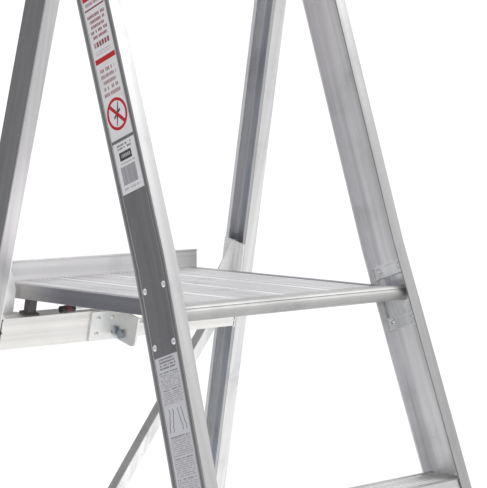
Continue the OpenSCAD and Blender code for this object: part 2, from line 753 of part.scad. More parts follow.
// ---- rear feet ----
module rear_foot(s) {
    foot_u = -deck_h / cos(rear_lean);
    x_out = rear_x(foot_u) + 3;
    y1 = frame_gap + deck_h * tan(rear_lean) - foot_toe - mid_y;
    y2 = rear_foot_y - mid_y;
    gap = side_gap;
    side(s) color(black) difference() {
        union() {
            foot_pad_shape(x_out - rear_flange - 8, x_out, y1, y2);
            intersection() {
                rear_web() translate([-rear_flange + rear_skin + gap, rear_skin + gap, foot_u - 20])
                    cube([rear_flange - 2 * (rear_skin + gap), rear_depth - 2 * (rear_skin + gap), 120]);
                translate([0, -1500, foot_pad - 1]) cube([800, 3000, 66]);
            }
        }
        rear_foot_rivet_points() rivet_hole(12);
    }
}
module rear_foot_left() { rear_foot(-1); }
module rear_foot_right() { rear_foot(1); }
module rear_foot_rivets() {
    color(bright) for (s = [-1, 1]) side(s) rear_foot_rivet_points() flush_rivet(9);
}

// ---- rest blocks under the side rails ----
module rest_block(s) {
    side(s) color(black) intersection() {
        rear_frame() translate([block_x, rail_d / 2, (s < 0 ? rail_top_u : rail_low_u + rail_right_h) + seat_gap]) {
            translate([-13, -rail_d / 2 + 1, 0]) cube([26, rail_d - 2, 3.5]);
            translate([-block_w / 2, -7, 0]) cube([block_w, 14, 60]);
        }
        ladder() translate([0, 0, deck_low - 200.4]) cube([400, 800, 200]);
    }
}
module rest_block_left() { rest_block(-1); }
module rest_block_right() { rest_block(1); }

// ---- rail bracket: a base on the rail's front face and a forward ear ----
ear_l = 52;
module rail_bracket() {
    base_l = 77;
    color(zinc) difference() {
        union() {
            rear_frame() translate([-base_l, -latch_t, rail_low_u + 1])
                cube([base_l + ear_x + latch_t, latch_t, rail_h - 2]);
            rear_frame() translate([ear_x, 0, 0]) rotate([90, 0, 90]) linear_extrude(latch_t) difference() {
                union() {
                    translate([-ear_l, rail_low_u + 13]) square([ear_l, rail_h - 14]);
                    translate([-ear_l + 12, rail_low_u]) square([ear_l - 12, 14]);
                    translate([-ear_l + 12, rail_low_u + 12]) circle(r = 12);
                }
                translate([latch_v, latch_u]) circle(r = hinge_r + seat_gap);
            }
        }
        bracket_rivet_points() rivet_hole(10);
    }
}
module rail_bracket_rivets() {
    color(bright) bracket_rivet_points() rivet(latch_t + rail_wall, 4.5);
}
module latch_bolt() {
    color(zinc) rear_frame() translate([ear_x, latch_v, latch_u]) {
        mirror([1, 0, 0]) hex_head(15, 5);
        rod(hinge_r, 2 * latch_t + 9);
    }
}
module latch_nut() {
    color(zinc) rear_frame() translate([lever_x + latch_t + side_gap, latch_v, latch_u]) difference() {
        hex_head(15, 6);
        translate([-1, 0, 0]) rod(hinge_r + seat_gap, 8);
    }
}

// ---- latch: lever on the bracket's bolt, cross rod, and grip ----
nose_tip_v = 10;
nose_tip_u = rail_top_u + 19;
module latch_lever() {
    color(zinc) rear_frame() translate([lever_x, 0, 0]) rotate([90, 0, 90])
        linear_extrude(latch_t) difference() {
            union() {
                translate([latch_v, latch_u]) circle(r = 11);
                translate([rod_v, rod_u]) circle(r = 8);
                polygon([[latch_v - 11, latch_u], [latch_v + 11, latch_u], [-1.5, rail_top_u + 1.5],
                         [rod_v + 8, rod_u], [rod_v + 8, nose_tip_u - 4],
                         [nose_tip_v, nose_tip_u - 3], [nose_tip_v, nose_tip_u + 3],
                         [rod_v - 4, nose_tip_u + 3], [rod_v - 8, rod_u]]);
            }
            translate([latch_v, latch_u]) circle(r = hinge_r + turn_gap);
            translate([rod_v, rod_u]) circle(r = rod_r + seat_gap);
        }
}
module latch_rod() {
    color(zinc) rear_frame() translate([-grip_x - 12, rod_v, rod_u])
        rod(rod_r, grip_x + 12 + lever_x + latch_t + 3);
}
module latch_grip() {
    color(black) rear_frame() translate([-grip_x - 14, rod_v, rod_u]) difference() {
        union() {
            rod(6, 28);
            translate([9, 0, 0]) rod(6.6, 8);
        }
        translate([2, 0, 0]) rod(rod_r + seat_gap, 30);
    }
}

// ---- platform ----
module platform_nose() {
    color(bright) ladder() difference() {
        union() {
            translate([-nose_half, nose_y, nose_z]) rod(nose_r, 2 * nose_half);
            // flat top, rear web and a shelf that the planks lie on
            translate([-deck_half, nose_y, -3]) cube([2 * deck_half, nose_r + 4.5, 3]);
            translate([-deck_half, nose_y + nose_r + 1.5, deck_low + 1])
                cube([2 * deck_half, 3, -deck_low - 1]);
            translate([-bearer_end, nose_y + nose_r + 2, -plank_h - 2.5]) cube([2 * bearer_end, 24, 2.5]);
            translate([-deck_half, nose_y, deck_low]) cube([2 * deck_half, nose_r + 4.5, 3]);
        }
        translate([-nose_half - 1, nose_y, nose_z]) rod(bore_r, 2 * nose_half + 2);
        // groove along the lower front of the nose
        translate([-nose_half - 1, nose_y, nose_z]) rotate([-28, 0, 0])
            translate([0, -nose_r - 1, -2.5]) cube([2 * nose_half + 2, 2.6, 5]);
    }
}
module nose_bush(s) {
    side(s) color(black) ladder() translate([nose_half - spigot_l - 4, nose_y, nose_z]) difference() {
        rod(bore_r - seat_gap, spigot_l + 4);
        translate([-1, 0, 0]) rod(spigot_r + turn_gap, spigot_l + 6);
    }
}
module nose_bush_left() { nose_bush(-1); }
module nose_bush_right() { nose_bush(1); }

plank_pitch = 2 * plank_half / plank_count;
plank_w = plank_pitch - 0.1;
module plank_section() {
    w = plank_w;
    top = -rib_h;
    ribs = floor((w - 6) / rib_pitch);
    start = -(ribs - 1) * rib_pitch / 2;
    polygon(concat(
        [[-w / 2, -plank_h], [-w / 2, top]],
        [for (k = [0:ribs - 1]) let (x = start + k * rib_pitch)
            each [[x - 1.5, top], [x - 1, 0], [x + 1, 0], [x + 1.5, top]]],
        [[w / 2, top], [w / 2, -plank_h], [w / 2 - 6, -plank_h], [w / 2 - 6, -plank_h + 2],
         [w / 2 - 2, -plank_h + 2], [w / 2 - 2, top - plank_skin], [1, top - plank_skin],
         [1, -plank_h], [-1, -plank_h], [-1, top - plank_skin], [-w / 2 + 2, top - plank_skin],
         [-w / 2 + 2, -plank_h + 2], [-w / 2 + 6, -plank_h + 2], [-w / 2 + 6, -plank_h]]
    ));
}
module deck_planks() {
    color(bright) for (k = [0:plank_count - 1])
        ladder() translate([-plank_half + (k + 0.5) * plank_pitch, plank_rear, 0]) rotate([90, 0, 0])
            linear_extrude(plank_rear - plank_front) plank_section();
}
module side_rail(s) {
    t = 2.5;
    low = deck_low;
    rail_l = plank_rear - plank_front;
    side(s) color(aluminium) ladder() translate([deck_half, plank_rear, 0]) rotate([90, 0, 0])
        linear_extrude(rail_l) polygon([
            [0, 0], [-rail_top, 0], [-rail_top, -t], [-t, -t], [-t, -plank_h], [-rail_top - 12, -plank_h],
            [-rail_top - 12, -plank_h - t], [-t, -plank_h - t], [-t, low + t], [-22, low + t],
            [-22, low], [0, low]
        ]);
}
module side_rail_left() { side_rail(-1); }
module side_rail_right() { side_rail(1); }
module toe_board() {
    color(aluminium) ladder() translate([-deck_half, 0, 0]) rotate([90, 0, 90])
        linear_extrude(2 * deck_half) polygon([
            [deck_rear - toe_t, toe_h - 4], [deck_rear - toe_t - 2, toe_h - 3],
            [deck_rear - toe_t - 2, toe_h], [deck_rear, toe_h], [deck_rear, deck_low],
            [deck_rear - toe_t, deck_low]
        ]);
    color(aluminium) ladder() translate([-bearer_end, deck_rear - 24, -plank_h - 2.5])
        cube([2 * bearer_end, 24 - toe_t / 2, 2.5]);
}
// cross channels under the planks
bearer_y = [190, rear_bearer_y];
bearer_end = deck_half - rail_top - 12 - side_gap;
keeper_x = -8;
module deck_bearers() {
    t = 2.5;
    color(aluminium) for (y = bearer_y) ladder() translate([-bearer_end, y, 0]) difference() {
        rotate([90, 0, 90]) linear_extrude(2 * bearer_end) polygon([
            [0, -plank_h], [bearer_w, -plank_h], [bearer_w, deck_low], [bearer_w - t, deck_low],
            [bearer_w - t, -plank_h - t], [t, -plank_h - t], [t, deck_low], [0, deck_low]
        ]);
        for (x = [-14, 14]) translate([bearer_end + keeper_x + x, 0, deck_low + 4])
            rotate([0, 0, 90]) translate([-2, 0, 0]) rod(rivet_hole, 10);
    }
}
module deck_rivets() {
    color(bright) for (x = [-14, 14]) ladder() translate([keeper_x + x, rear_bearer_y - 3, deck_low + 4])
        rotate([0, 0, -90]) rivet(3 + 2.5, 4);
}
// plate under the platform with a window for the latch's nose
module latch_keeper() {
    window_z = nose_tip_v * sin(rear_lean) + nose_tip_u * cos(rear_lean);
    color(zinc) ladder() difference() {
        translate([keeper_x - 20, rear_bearer_y - 3, -52]) cube([40, 3, 52 - plank_h - 3]);
        translate([keeper_x - 6, rear_bearer_y - 4, window_z - 7]) cube([12, 5, 13]);
        for (x = [-14, 14]) translate([keeper_x + x, rear_bearer_y - 5, deck_low + 4])
            rotate([0, 0, 90]) rod(rivet_hole, 8);
    }
}

front_stile_left();
front_stile_right();
tread_low();
tread_middle();
tread_top();
tread_brackets_low();
tread_brackets_middle();
tread_brackets_top();
tread_rivets();
platform_bracket_left();
platform_bracket_right();
platform_bracket_rivets();
hinge_plate_left();
hinge_plate_right();
hinge_plate_rivets();
hinge_bolt_left();
hinge_bolt_right();
hinge_spacers();
hinge_nuts();
top_cap();
top_cap_screws();
front_foot_left();
front_foot_right();
front_foot_rivets();
label_upper();
label_middle();
label_lower();
rear_stile_left();
rear_stile_right();
rear_gusset_left();
rear_gusset_right();
gusset_rivets();
upper_cross_rail();
lower_cross_rail();
lower_rail_brackets();
diagonal_brace();
brace_rivets();
rear_foot_left();
rear_foot_right();
rear_foot_rivets();
rest_block_left();
rest_block_right();
rail_bracket();
rail_bracket_rivets();
latch_bolt();
latch_nut();
platform_nose();
nose_bush_left();
nose_bush_right();
deck_planks();
side_rail_left();
side_rail_right();
toe_board();
deck_bearers();
deck_rivets();
latch_keeper();
latch_lever();
latch_rod();
latch_grip();
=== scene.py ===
import bpy, bmesh, json, math
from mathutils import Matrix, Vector

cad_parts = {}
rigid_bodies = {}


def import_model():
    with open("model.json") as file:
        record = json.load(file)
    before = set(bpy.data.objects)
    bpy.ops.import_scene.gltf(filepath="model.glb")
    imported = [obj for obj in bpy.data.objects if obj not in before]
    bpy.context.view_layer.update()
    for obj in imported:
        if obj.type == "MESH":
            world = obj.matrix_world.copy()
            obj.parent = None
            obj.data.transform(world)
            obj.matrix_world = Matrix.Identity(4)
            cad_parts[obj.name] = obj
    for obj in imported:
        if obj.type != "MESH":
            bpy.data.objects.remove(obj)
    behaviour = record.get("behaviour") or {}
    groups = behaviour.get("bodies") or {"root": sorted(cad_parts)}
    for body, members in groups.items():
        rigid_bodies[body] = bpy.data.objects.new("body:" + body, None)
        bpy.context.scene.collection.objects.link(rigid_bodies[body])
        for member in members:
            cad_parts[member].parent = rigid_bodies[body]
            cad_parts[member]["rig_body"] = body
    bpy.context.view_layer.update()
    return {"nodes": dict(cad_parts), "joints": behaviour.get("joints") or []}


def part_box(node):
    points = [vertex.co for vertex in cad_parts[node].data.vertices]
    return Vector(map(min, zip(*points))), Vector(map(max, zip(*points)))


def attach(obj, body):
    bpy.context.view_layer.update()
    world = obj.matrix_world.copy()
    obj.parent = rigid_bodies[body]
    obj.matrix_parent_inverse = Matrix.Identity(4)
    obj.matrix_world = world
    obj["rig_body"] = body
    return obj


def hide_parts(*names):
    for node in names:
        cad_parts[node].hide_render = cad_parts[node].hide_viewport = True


# Platform step ladder: looks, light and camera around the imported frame
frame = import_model()
joints = {joint["name"]: joint for joint in frame["joints"]}
print("frame loaded:", len(frame["nodes"]), "nodes")

# The frame's own places, worked out from its joints. Metres and degrees.
ladder = {"noseSetback": 0.020, "noseRadius": 0.0125, "frontLean": 19.0, "rearLean": 14.0,
          "frameGap": 0.430, "labelInset": 0.011}
noseAxis = joints["platform_tilt"]["pos_m"]
frontEdgeY = noseAxis[1] - ladder["noseSetback"]
rearEdgeY = frontEdgeY + ladder["frameGap"]
deckZ = noseAxis[2] + ladder["noseRadius"]


# node trees written as sums
class Num:
    # stands for one output socket
    def __init__(self, graph, socket):
        self.graph, self.socket = graph, socket

    def __add__(self, other): return self.graph.maths("ADD", self, other)
    def __radd__(self, other): return self.graph.maths("ADD", other, self)
    def __sub__(self, other): return self.graph.maths("SUBTRACT", self, other)
    def __rsub__(self, other): return self.graph.maths("SUBTRACT", other, self)
    def __mul__(self, other): return self.graph.maths("MULTIPLY", self, other)
    def __rmul__(self, other): return self.graph.maths("MULTIPLY", other, self)
    def __truediv__(self, other): return self.graph.maths("DIVIDE", self, other)
    def __rtruediv__(self, other): return self.graph.maths("DIVIDE", other, self)
    def above(self, limit): return self.graph.maths("GREATER_THAN", self, limit)
    def below(self, limit): return self.graph.maths("LESS_THAN", self, limit)
    def most(self, other): return self.graph.maths("MAXIMUM", self, other)
    def floor(self): return self.graph.maths("FLOOR", self)
    def size(self): return self.graph.maths("ABSOLUTE", self)
    def root(self): return self.graph.maths("SQRT", self)
    def flipped(self): return 1.0 - self

    # 0 below low, 1 above high, smooth between
    def step(self, low, high):
        return self.graph.node("ShaderNodeMapRange", {"interpolation_type": "SMOOTHSTEP"},
                               {"Value": self, "From Min": low, "From Max": high})


class Graph:
    def __init__(self, tree):
        self.tree = tree

    def give(self, socket, value):
        if isinstance(value, Num):
            self.tree.links.new(value.socket, socket)
        else:
            socket.default_value = value

    def node(self, kind, settings=None, inputs=None, out=0):
        made = self.tree.nodes.new(kind)
        for key, value in (settings or {}).items():
            setattr(made, key, value)
        for key, value in (inputs or {}).items():
            self.give(made.inputs[key], value)
        return Num(self, made.outputs[out])

    def maths(self, operation, *values):
        return self.node("ShaderNodeMath", {"operation": operation}, dict(enumerate(values)))

    def vector(self, x, y, z):
        return self.node("ShaderNodeCombineXYZ", None, {"X": x, "Y": y, "Z": z})

    def parts(self, vector):
        split = self.node("ShaderNodeSeparateXYZ", None, {0: vector})
        return [Num(self, socket) for socket in split.socket.node.outputs]

    def noise(self, vector, scale=1.0, detail=2.0, roughness=0.5):
        return self.node("ShaderNodeTexNoise", None, {"Vector": vector, "Scale": scale,
                                                      "Detail": detail, "Roughness": roughness})

    def blend(self, amount, first, second, way="MIX"):
        first, second = (c if isinstance(c, Num) else (*c, 1.0) for c in (first, second))
        return self.node("ShaderNodeMix", {"data_type": "RGBA", "blend_type": way},
                         {0: amount, 6: first, 7: second}, 2)

    # a colour times a brightness
    def shade(self, colour, amount):
        return self.blend(1.0, colour, self.vector(amount, amount, amount), "MULTIPLY")


class Finish(Graph):
    def __init__(self, name, metallic=0.0, coat=0.0, specular=0.5):
        self.material = bpy.data.materials.new(name)
        self.material.use_nodes = True
        super().__init__(self.material.node_tree)
        self.shader = self.tree.nodes["Principled BSDF"]
        self.shader.inputs["Metallic"].default_value = metallic
        self.shader.inputs["Coat Weight"].default_value = coat
        self.shader.inputs["Specular IOR Level"].default_value = specular
        self.spot = self.node("ShaderNodeTexCoord", None, None, "Object")

    def finish(self, colour, roughness, height=None, depth=0.0):
        self.give(self.shader.inputs["Base Color"], colour)
        self.give(self.shader.inputs["Roughness"], roughness)
        if height is not None:
            bump = self.node("ShaderNodeBump", None, {"Height": height, "Distance": depth, "Strength": 1.0})
            self.give(self.shader.inputs["Normal"], bump)
        return self.material

    # across, depth and along of a piece that leans back by some degrees
    def leaned(self, degrees, edgeY):
        x, y, z = self.parts(self.spot)
        y, z = y - edgeY, z - deckZ
        c, s = math.cos(math.radians(degrees)), math.sin(math.radians(degrees))
        return x, y * c - z * s, z * c + y * s

    # across, depth and along of a piece that runs with a frame or an axis
    def lengthwise(self, run):
        if run == "front":
            return self.leaned(ladder["frontLean"], frontEdgeY)
        if run == "rear":
            return self.leaned(-ladder["rearLean"], rearEdgeY)
        x, y, z = self.parts(self.spot)
        return (y, z, x) if run == "x" else (x, z, y)


# materials
extrusion = {
    "metallic": 0.88,
    # fine drawing lines and the broad bands between them
    "lineScale": 1400.0, "lineRun": 7.0, "lineShade": 0.45, "lineHeight": 0.7,
    "bandScale": 90.0, "bandRun": 1.3, "bandShade": 0.8, "bandHeight": 0.5, "bandEdge": (0.25, 0.75),
    "streakShift": 0.1, "streakDepth": 0.26, "streakBase": 0.85, "lineDepth": 0.00004,
    # a dull cloud, and grime in its spots
    "cloudScale": 13.0, "cloudGrain": 0.62, "cloudEdge": (0.45, 0.75), "cloudShade": -0.07,
    "speckScale": 420.0, "speckEdge": (0.42, 0.62), "grimeEdge": (0.52, 0.78), "grimeAmount": 0.25,
    "grimeTone": (0.20, 0.21, 0.22),
    # short handling scratches that cross the drawing lines
    "scratchAcross": 60.0, "scratchSkew": 500.0, "scratchRun": 40.0, "scratchEdge": (0.70, 0.74),
    "scratchAmount": 0.10, "scratchTone": (0.80, 0.81, 0.82), "scratchHeight": -0.5,
    # thin painted highlight lines along the piece, where light catches the edges of a step
    "beadEdge": (0.0003, 0.0007), "beadAmount": 0.7, "beadTone": (0.86, 0.87, 0.88),
    # what each of them adds to the roughness
    "bandRough": 0.10, "cloudRough": 0.12, "grimeRough": 0.35, "scratchRough": 0.08,
}


def extrudedAluminium(name, run, tone, roughness, seed=0.0, metallic=None, lightAndShadeZones=(), highlightLines=(), far=None):
    e = extrusion
    f = Finish(name, metallic=metallic or e["metallic"])
    across, depth, along = f.lengthwise(run)
    line = f.vector(across * e["lineScale"], depth * e["lineScale"], along * e["lineRun"] + seed)
    line = f.noise(line, detail=3.0)
    band = f.noise(f.vector(across * e["bandScale"], depth * e["bandScale"], along * e["bandRun"] + seed))
    cloud = f.noise(f.spot, scale=e["cloudScale"], detail=5.0, roughness=e["cloudGrain"])
    speck = f.noise(f.spot, scale=e["speckScale"])
    scratch = f.noise(f.vector(across * e["scratchAcross"] + along * e["scratchSkew"],
                               depth * e["scratchAcross"], along * e["scratchRun"] + seed), detail=1.0)
    scratch = scratch.step(*e["scratchEdge"])
    grime = cloud.step(*e["grimeEdge"]) * speck.step(*e["speckEdge"]) * e["grimeAmount"]
    colour = tone
    # each zone runs from one depth to another behind the frame's front, with a soft edge, in metres, and
    # paints light or shade onto the faces at those depths
    for low, high, shade, soft in lightAndShadeZones:
        colour = f.blend(depth.step(low, low + soft) * depth.step(high, high + soft).flipped(), colour, shade)
    # painted light: the piece turns to a lighter tone towards its far end, where more light falls
    if far:
        start, end, shade = far
        colour = f.blend(along.step(start, end), colour, shade)
    # painted highlight: a thin lighter line at each of these depths
    for place in highlightLines:
        highlightLine = (depth - place).size().step(*e["beadEdge"]).flipped()
        colour = f.blend(highlightLine * e["beadAmount"], colour, e["beadTone"])
    streak = line * e["lineShade"] + band.step(*e["bandEdge"]) * e["bandShade"] - e["streakShift"]
    colour = f.shade(colour, streak * e["streakDepth"] + e["streakBase"])
    colour = f.shade(colour, cloud.step(*e["cloudEdge"]) * e["cloudShade"] + 1.0)
    colour = f.blend(grime, colour, e["grimeTone"])
    colour = f.blend(scratch * e["scratchAmount"], colour, e["scratchTone"])
    rough = roughness - (e["bandRough"] + e["cloudRough"]) / 2
    rough = band * e["bandRough"] + cloud * e["cloudRough"] + rough
    rough = rough + grime * e["grimeRough"] - scratch * e["scratchRough"]
    height = line * e["lineHeight"] + band * e["bandHeight"] + scratch * e["scratchHeight"]
    return f.finish(colour, rough, height, e["lineDepth"])


zincing = {
    "metallic": 0.92, "cloudScale": 60.0, "cloudGrain": 0.6, "cloudEdge": (0.35, 0.65), "cloudRough": 0.22,
    "blue": (0.50, 0.55, 0.60), "straw": (0.72, 0.70, 0.62), "toneShare": 0.72,
    "grainScale": 900.0, "grainDepth": 0.00005, "roughShift": 0.08,
    "pitEdge": (0.60, 0.72), "pitAmount": 0.35, "pitTone": (0.30, 0.31, 0.31),
}


def zincPlate(name, tone, roughness=0.34):
    z = zincing
    f = Finish(name, metallic=z["metallic"])
    cloud = f.noise(f.spot, scale=z["cloudScale"], detail=6.0, roughness=z["cloudGrain"])
    grain = f.noise(f.spot, scale=z["grainScale"])
    tint = f.blend(cloud.step(*z["cloudEdge"]), z["blue"], z["straw"])
    colour = f.blend(z["toneShare"], tint, tone)
    colour = f.blend(grain.step(*z["pitEdge"]) * z["pitAmount"], colour, z["pitTone"])
    return f.finish(colour, cloud * z["cloudRough"] + (roughness - z["roughShift"]), grain, z["grainDepth"])


moulding = {
    "specular": 0.45, "cloudScale": 26.0, "cloudEdge": (0.3, 0.7), "darker": 0.82,
    "scuffScale": 110.0, "scuffGrain": 0.7, "scuffEdge": (0.64, 0.76), "scuffAmount": 0.25,
    "scuffTone": (0.35, 0.35, 0.36), "scuffRough": 0.15, "scuffHeight": -0.6,
    "grainScale": 1600.0, "grainRough": 0.14, "grainDepth": 0.00008,
}


def mouldedPlastic(name, tone, roughness, coat=0.0, grainScale=moulding["grainScale"],
                   wear=moulding["scuffTone"]):
    m = moulding
    f = Finish(name, coat=coat, specular=m["specular"])
    grain = f.noise(f.spot, scale=grainScale, detail=3.0)
    cloud = f.noise(f.spot, scale=m["cloudScale"], detail=4.0)
    scuff = f.noise(f.spot, scale=m["scuffScale"], detail=4.0, roughness=m["scuffGrain"])
    scuff = scuff.step(*m["scuffEdge"])
    colour = f.blend(cloud.step(*m["cloudEdge"]), tuple(part * m["darker"] for part in tone), tone)
    colour = f.blend(scuff * m["scuffAmount"], colour, wear)
    rough = grain * m["grainRough"] + scuff * m["scuffRough"] + (roughness - m["grainRough"] / 2)
    return f.finish(colour, rough, grain + scuff * m["scuffHeight"], m["grainDepth"])


grip = {"bandHalf": 0.0045, "band": (0.15, 0.028, 0.030), "body": (0.028, 0.028, 0.031),
        "grainScale": 1500.0, "grainRough": 0.2, "roughness": 0.36, "grainDepth": 0.00006}


def redBandedGrip(name):
    f = Finish(name, specular=moulding["specular"])
    low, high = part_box("latch_grip")
    x = f.parts(f.spot)[0]
    band = (x - (low[0] + high[0]) / 2).size().below(grip["bandHalf"])
    grain = f.noise(f.spot, scale=grip["grainScale"], detail=3.0)
    colour = f.blend(band, grip["body"], grip["band"])
    return f.finish(colour, grain * grip["grainRough"] + grip["roughness"], grain, grip["grainDepth"])


# printed films: every measure is in millimetres across and up the label
printInk = {"paper": (0.84, 0.83, 0.86), "greyPaper": (0.64, 0.64, 0.68), "bluePaper": (0.66, 0.66, 0.72),
            "red": (0.56, 0.004, 0.014), "wine": (0.26, 0.018, 0.040), "ink": (0.05, 0.05, 0.055),
            "grey": (0.24, 0.24, 0.27)}
film = {"coat": 0.08, "specular": 0.30, "roughness": 0.24, "grainScale": 1200.0, "grainDepth": 0.00002,
        "fadeScale": 35.0, "fadeEdge": (0.35, 0.75), "fadeAmount": 0.16, "fadeTone": (0.62, 0.62, 0.60),
        "smudgeScale": 48.0, "smudgeEdge": (0.56, 0.80), "smudgeAmount": 0.16, "smudgeRough": 0.25,
        "smudgeTone": (0.35, 0.35, 0.35)}
perMetre = 1000.0  # millimetres in a metre
# edges of the dashes, as shares of a cell or a row
dash = {"shift": 0.37, "left": (0.08, 0.22), "right": (0.80, 0.94), "foot": (0.20, 0.28), "top": (0.78, 0.86),
        "word": (0.36, 0.40), "stroke": (0.28, 0.42)}


class Label(Finish):
    def __init__(self, name, paper):
        super().__init__(name, coat=film["coat"], specular=film["specular"])
        depth, along = self.leaned(ladder["frontLean"], frontEdgeY)[1:]
        self.side = (depth - ladder["labelInset"]) * perMetre
        self.up = along * perMetre
        fade = self.noise(self.spot, scale=film["fadeScale"], detail=4.0).step(*film["fadeEdge"])
        self.colour = self.blend(fade * film["fadeAmount"], printInk[paper], film["fadeTone"])

    def patch(self, left, right, low, high):
        return self.side.above(left) * self.side.below(right) * self.up.above(low) * self.up.below(high)

    def paint(self, mask, ink):
        self.colour = self.blend(mask, self.colour, printInk[ink])

    # rows of glyph-like dashes, ragged about a middle line
    def rows(self, middle, half, low, high, pitch, ink, glyph, strength, ragged, seed):
        row = ((self.up - low) / pitch).floor()
        place = (self.up - low) / pitch - row
        reach = self.noise(self.vector(row * 3.7 + seed, seed + 2.0, 0.5), detail=0.0)
        reach = reach * (-2.0 * ragged) + (1.0 + ragged)
        inside = (self.side - middle).size().below(reach * half)
        inside = inside * self.up.above(low) * self.up.below(high)
        cell = self.side / glyph + row * dash["shift"]
        within = cell - cell.floor()
        letter = within.step(*dash["left"]) * within.step(*dash["right"]).flipped()
        word = self.noise(self.vector(cell.floor() * 1.7, row * 5.31 + seed, 0.0), detail=0.0)
        stroke = self.noise(self.vector(self.side * 1.1, self.up * 0.8, seed), detail=1.0)
        line = place.step(*dash["foot"]) * place.step(*dash["top"]).flipped()
        word, stroke = word.step(*dash["word"]), stroke.step(*dash["stroke"])
        self.paint(inside * letter * word * stroke * line * strength, ink)

    def printed(self, layout):
        for left, right, low, high, ink in layout["bands"]:
            self.paint(self.patch(left, right, low, high), ink)
        for row in layout["rows"]:
            self.rows(*row)

    def done(self):
        grain = self.noise(self.spot, scale=film["grainScale"])
        smudge = self.noise(self.spot, scale=film["smudgeScale"], detail=4.0)
        dirt = smudge.step(*film["smudgeEdge"]) * film["smudgeAmount"]
        colour = self.blend(dirt, self.colour, film["smudgeTone"])
        rough = smudge * film["smudgeRough"] + film["roughness"]
        return self.finish(colour, rough, grain, film["grainDepth"])


# a band is left, right, low, high, ink; a block of rows is as Label.rows takes it
upperPrint = {
    "bands": [(2, 52, 497, 518, "red"), (2, 52, 481.5, 484, "wine"), (1, 52, 396, 404, "red")],
    "rows": [(27, 20, 500, 515, 15.0, "paper", 5.0, 0.90, 0.20, 8.0),
             (27, 20, 486, 495, 9.0, "wine", 3.0, 0.80, 0.10, 3.0),
             (27, 20, 433, 475, 8.4, "wine", 3.4, 1.00, 0.30, 1.0),
             (27, 21, 418, 432, 14.0, "wine", 6.8, 1.00, 0.05, 4.0),
             (27, 19, 408, 416, 4.0, "wine", 1.8, 0.45, 0.20, 6.0),
             (27, 19, 340, 388, 9.6, "wine", 3.4, 0.85, 0.40, 9.0)],
    "ringMiddle": (27.0, 311.0), "ringOuter": 25.0, "ringInner": 20.2,
    "barSlope": (0.72, 0.69), "barHalf": 2.9, "barEnd": 22.0,
    "boltSlope": (0.94, 0.34), "boltShift": 1.0, "boltHalf": 1.9, "boltTaper": 0.06, "boltEnd": 19.0,
    "armSlope": (0.50, 0.86), "armHalf": 1.6, "armReach": 9.0,
}


def upperLabel():
    f, u = Label("label_upper_print", "paper"), upperPrint
    f.printed(u)
    # a ring with a bar across it, over a forked bolt
    x, y = f.side - u["ringMiddle"][0], f.up - u["ringMiddle"][1]
    radius = (x * x + y * y).root()
    bar = (x * u["barSlope"][0] - y * u["barSlope"][1]).size().below(u["barHalf"])
    bar = bar * radius.below(u["barEnd"])
    ring = radius.below(u["ringOuter"]) * radius.above(u["ringInner"])
    bolt = (x * u["boltSlope"][0] + y * u["boltSlope"][1] + u["boltShift"]).size()
    bolt = bolt.below(u["boltHalf"] - y.size() * u["boltTaper"]) * y.size().below(u["boltEnd"])
    arm = (x * u["armSlope"][0] + y * u["armSlope"][1]).size().below(u["armHalf"])
    arm = arm * x.size().below(u["armReach"])
    f.paint(bolt.most(arm) * radius.below(u["boltEnd"]), "ink")
    f.paint(ring.most(bar), "red")
    return f.done()


middlePrint = {
    "bands": [(13, 43, 240, 253, "ink")],
    "rows": [(27, 17, 256, 266, 5.0, "ink", 2.6, 1.00, 0.15, 2.0),
             (28, 12, 242, 251, 9.0, "paper", 4.0, 0.60, 0.05, 3.0),
             (26, 18, 233, 238, 5.0, "grey", 1.8, 0.60, 0.10, 5.0),
             (27, 20, 194, 200, 6.0, "grey", 1.8, 0.70, 0.05, 7.0)],
    "bars": (10, 46, 203, 231), "barScale": 1.3, "barEdge": (0.44, 0.50), "barInk": 0.6, "barGround": 0.35,
}


def middleLabel():
    f, m = Label("label_middle_print", "paper"), middlePrint
    f.printed(m)
    bars = f.noise(f.vector(f.side * m["barScale"], 3.0, 0.0), detail=1.0).step(*m["barEdge"])
    f.paint(f.patch(*m["bars"]) * (bars * m["barInk"] + m["barGround"]), "grey")
    return f.done()


lowerPrint = {
    "bands": [(3, 51, -178, -136, "bluePaper")],
    "rows": [(27, 19, -82, -64, 4.5, "ink", 2.4, 0.95, 0.20, 1.0)],
    # low and high of each paragraph, with a heading on top
    "paragraphs": [(-110, -88), (-133, -114), (-210, -183), (-240, -215), (-284, -245)],
    "rowPitch": 3.1, "headingPitch": 3.6,
    # two small line drawings side by side: middle and lean of each
    "drawings": [(14.0, 0.22), (39.0, -0.20)], "drawingBox": (4, 50, -174, -140), "drawingFoot": -157.0,
    "railGaps": (-7.5, 1.0), "railHalf": 0.75, "waveScale": 0.16, "waveReach": 7.0, "drawingInk": 0.8,
}


def lowerLabel():
    f, w = Label("label_lower_print", "greyPaper"), lowerPrint
    f.printed(w)
    for low, high in w["paragraphs"]:
        seed = 3.0 + low * 0.1
        f.rows(26, 23, low, high, w["rowPitch"], "grey", 2.0, 0.75, 0.10, seed)
        f.rows(26, 23, high, high + w["headingPitch"], w["headingPitch"], "ink", 2.6, 0.80, 0.15, seed + 2.0)
    for middle, lean in w["drawings"]:
        wave = f.noise(f.vector(f.up * w["waveScale"], middle, 0.0)) * w["waveReach"]
        for gap in w["railGaps"]:
            line = (f.side - wave - (f.up - w["drawingFoot"]) * lean - (middle + gap)).size()
            f.paint(line.below(w["railHalf"]) * f.patch(*w["drawingBox"]) * w["drawingInk"], "ink")
    return f.done()


# pieces
softEdge = {"width": 0.0007, "capWidth": 0.0016, "segments": 2, "profile": 0.5, "angle": 38.0, "sharp": 32.0,
            "flatAngle": 1.0, "faceWeight": 100, "splitFrom": 5}
sameSpot = 1e-6  # points closer than this are one, in metres


def paintNode(node, material):
    piece = frame["nodes"][node]
    piece.data.materials.clear()
    piece.data.materials.append(material)


